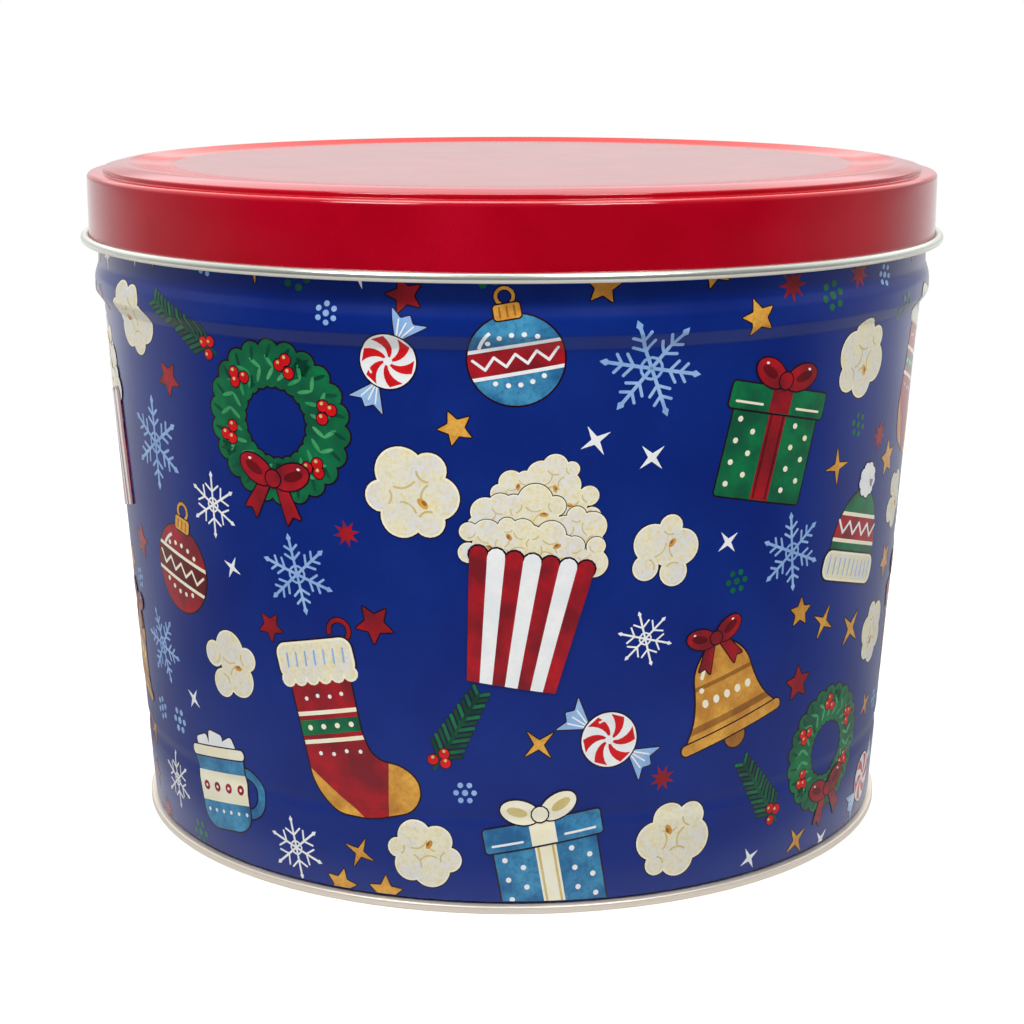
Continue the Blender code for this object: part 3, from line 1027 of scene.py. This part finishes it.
def all_places():
    """The motifs of the layout, then small ones in the gaps between them."""
    places = [(MOTIFS[name], across, up, tilt, size) for name, across, up, tilt, size in LAYOUT]
    taken = [(across, up, MOTIF_REACH[name] * size) for name, across, up, _, size in LAYOUT]
    half_turn = math.pi * PRINT_RADIUS
    draw = random.Random(SCATTER_SEED)
    kinds = 0
    for _ in range(SCATTER_TRIES):
        across = draw.uniform(-half_turn / 2.0, half_turn / 2.0)
        up = draw.uniform(PRINT_FOOT, PRINT_TOP)
        gaps = [
            math.hypot((across - x + half_turn / 2.0) % half_turn - half_turn / 2.0, up - y) - reach
            for x, y, reach in taken
        ]
        if min(gaps) > SCATTER_ROOM:
            places.append((SMALL_KINDS[kinds % len(SMALL_KINDS)], across, up, draw.uniform(0.0, 72.0),
                           draw.uniform(0.85, 1.15)))
            taken.append((across, up, SMALL_REACH))
            kinds += 1
    return places


def build_tin():
    blue = printed("blue_ground", (0, 36, 127), (2, 44, 137), (2, 33, 118), 0.4, 40.0, 1800.0)
    finished("wall", turned(wall_profile()), blue, ["body"])
    finished("lid_cap", turned(cap_profile()), red_lacquer(), ["lid"])
    # The curl is painted pale cream below 169.3 mm, a painted reflection of the floor under it
    bright = tinplate("tinplate", (208, 215, 204), (240, 244, 235), 0.24, 0.72, 169.3)
    warm = tinplate("tinplate_seam", (232, 218, 200), (252, 244, 230), 0.44, 0.6)
    finished("lid_curl", turned(curl_profile()), bright)
    finished("bottom_seam", turned(seam_profile()), warm, ["base"])


def build_camera():
    data = bpy.data.cameras.new("camera")
    data.sensor_width = SENSOR
    data.lens = CAMERA_LENS
    camera = bpy.data.objects.new("camera", data)
    camera.location = Vector((0.0, -CAMERA_DISTANCE, CAMERA_HEIGHT)) * MM
    camera.rotation_euler = (math.radians(CAMERA_TILT_DEG), 0.0, 0.0)
    bpy.context.scene.collection.objects.link(camera)
    bpy.context.scene.camera = camera


def floor_in_gloss(nodes, place, reach):
    """How strongly the floor is mirrored in the tin."""
    back = nodes.add("ShaderNodeSeparateXYZ", Vector=place).outputs["Y"]
    near_by = nodes.greys(nodes.ranged(back, FLOOR_NEAR_FROM, FLOOR_NEAR_TO), FLOOR_NEAR)
    turn = nodes.maths("DIVIDE", back, reach)
    far_off = nodes.greys(nodes.ranged(turn, -1.0, 1.0), FLOOR_FAR)
    distant = nodes.ranged(reach, FLOOR_FAR_FROM, FLOOR_FAR_TO)
    mirrored = nodes.blend(distant, near_by, far_off)
    near, close = [nodes.ranged(reach, start, full, 0.0, glow) for start, full, glow in FLOOR_GLOWS]
    return nodes.maths("MAXIMUM", nodes.maths("ADD", near, close), mirrored)


def floor_seen(nodes, reach):
    """The floor itself: a pale sheet that holds the tin's shadow, and fades to white around it."""
    pale = nodes.add("ShaderNodeBsdfDiffuse", Color=(FLOOR_TONE, FLOOR_TONE, FLOOR_TONE, 1.0))
    lift = nodes.add("ShaderNodeEmission", Strength=FLOOR_LIFT)
    lit = nodes.add("ShaderNodeAddShader", _0=pale.outputs[0], _1=lift.outputs[0])
    white = nodes.add("ShaderNodeEmission", Strength=1.0)
    far = nodes.ranged(reach, FLOOR_WHITE_FROM, FLOOR_WHITE_TO)
    return nodes.add("ShaderNodeMixShader", _0=far, _1=lit.outputs[0], _2=white.outputs[0]).outputs[0]


def build_floor():
    """A pale floor. What the tin mirrors of it is bright close by and behind, and dark in front."""
    bm = bmesh.new()
    bmesh.ops.create_circle(bm, cap_ends=True, segments=64, radius=FLOOR_RADIUS)
    mesh = bpy.data.meshes.new("floor")
    bm.to_mesh(mesh)
    bm.free()
    material, nodes = new_material("floor")
    place = nodes.add("ShaderNodeTexCoord").outputs["Object"]
    reach = nodes.add("ShaderNodeVectorMath", {"operation": "LENGTH"}, _0=place).outputs["Value"]
    in_gloss = nodes.add("ShaderNodeEmission", Strength=floor_in_gloss(nodes, place, reach))
    bounced = nodes.add("ShaderNodeBsdfDiffuse", Color=(FLOOR_BOUNCE, FLOOR_BOUNCE, FLOOR_BOUNCE, 1.0))
    path = nodes.add("ShaderNodeLightPath")
    in_light = nodes.add("ShaderNodeMixShader", _0=path.outputs["Is Glossy Ray"],
                         _1=bounced.outputs[0], _2=in_gloss.outputs[0])
    floor_shader = nodes.add("ShaderNodeMixShader", _0=path.outputs["Is Camera Ray"],
                             _1=in_light.outputs[0], _2=floor_seen(nodes, reach))
    nodes.add("ShaderNodeOutputMaterial", Surface=floor_shader.outputs[0])
    mesh.materials.append(material)
    floor = bpy.data.objects.new("floor", mesh)
    bpy.context.scene.collection.objects.link(floor)


def build_surroundings():
    """Even and pale as light; mirrored, it is banded behind the tin and dark towards the camera."""
    world = bpy.data.worlds.new("studio")
    world.use_nodes = True
    world.node_tree.nodes.clear()
    bpy.context.scene.world = world
    nodes = Nodes(world.node_tree)
    direction = nodes.add("ShaderNodeTexCoord").outputs["Generated"]
    split = nodes.add("ShaderNodeSeparateXYZ", Vector=direction)
    back = nodes.ranged(split.outputs["Y"], WORLD_BEHIND_FROM, WORLD_BEHIND_TO)
    low = nodes.ranged(split.outputs["Z"], WORLD_FRONT_HIGH_ABOVE, WORLD_FRONT_LOW_BELOW)
    behind = nodes.maths("MULTIPLY", nodes.greys(split.outputs["Z"], WORLD_BEHIND), WORLD_BEHIND_GAIN)
    front = nodes.add("ShaderNodeMix", Factor=low, A=WORLD_FRONT_HIGH, B=WORLD_FRONT_LOW)
    mirrored = nodes.add("ShaderNodeMix", Factor=back, A=front.outputs[0], B=behind)
    path = nodes.add("ShaderNodeLightPath")
    light = nodes.add("ShaderNodeMix", Factor=path.outputs["Is Glossy Ray"], A=WORLD_LIGHT,
                      B=mirrored.outputs[0])
    strength = nodes.add("ShaderNodeMix", Factor=path.outputs["Is Camera Ray"], A=light.outputs[0], B=1.0)
    sky = nodes.add("ShaderNodeBackground", Color=(1.0, 1.0, 1.0, 1.0), Strength=strength.outputs[0])
    nodes.add("ShaderNodeOutputWorld", Surface=sky.outputs[0])


def softbox(name, azimuth, elevation, distance, size, watts):
    """A square soft light; azimuth in degrees from the front towards +X, aimed at the tin."""
    aim = Vector((0.0, 0.0, SOFTBOX_AIM))
    turn, rise = math.radians(azimuth), math.radians(elevation)
    away = Vector((math.sin(turn) * math.cos(rise), -math.cos(turn) * math.cos(rise), math.sin(rise)))
    data = bpy.data.lights.new(name, "AREA")
    data.shape = "SQUARE"
    data.size = size
    data.energy = watts
    lamp = bpy.data.objects.new(name, data)
    lamp.location = aim + away * distance
    lamp.rotation_euler = (-away).to_track_quat("-Z", "Y").to_euler()
    bpy.context.scene.collection.objects.link(lamp)


def build_lights():
    for name, setting in SOFTBOXES.items():
        softbox(name, *setting)


VARNISH = varnish_group()
MOTTLE = mottle_group()
build_tin()
build_print()
build_camera()
build_floor()
build_surroundings()
build_lights()
bpy.context.scene.view_settings.view_transform = "Standard"
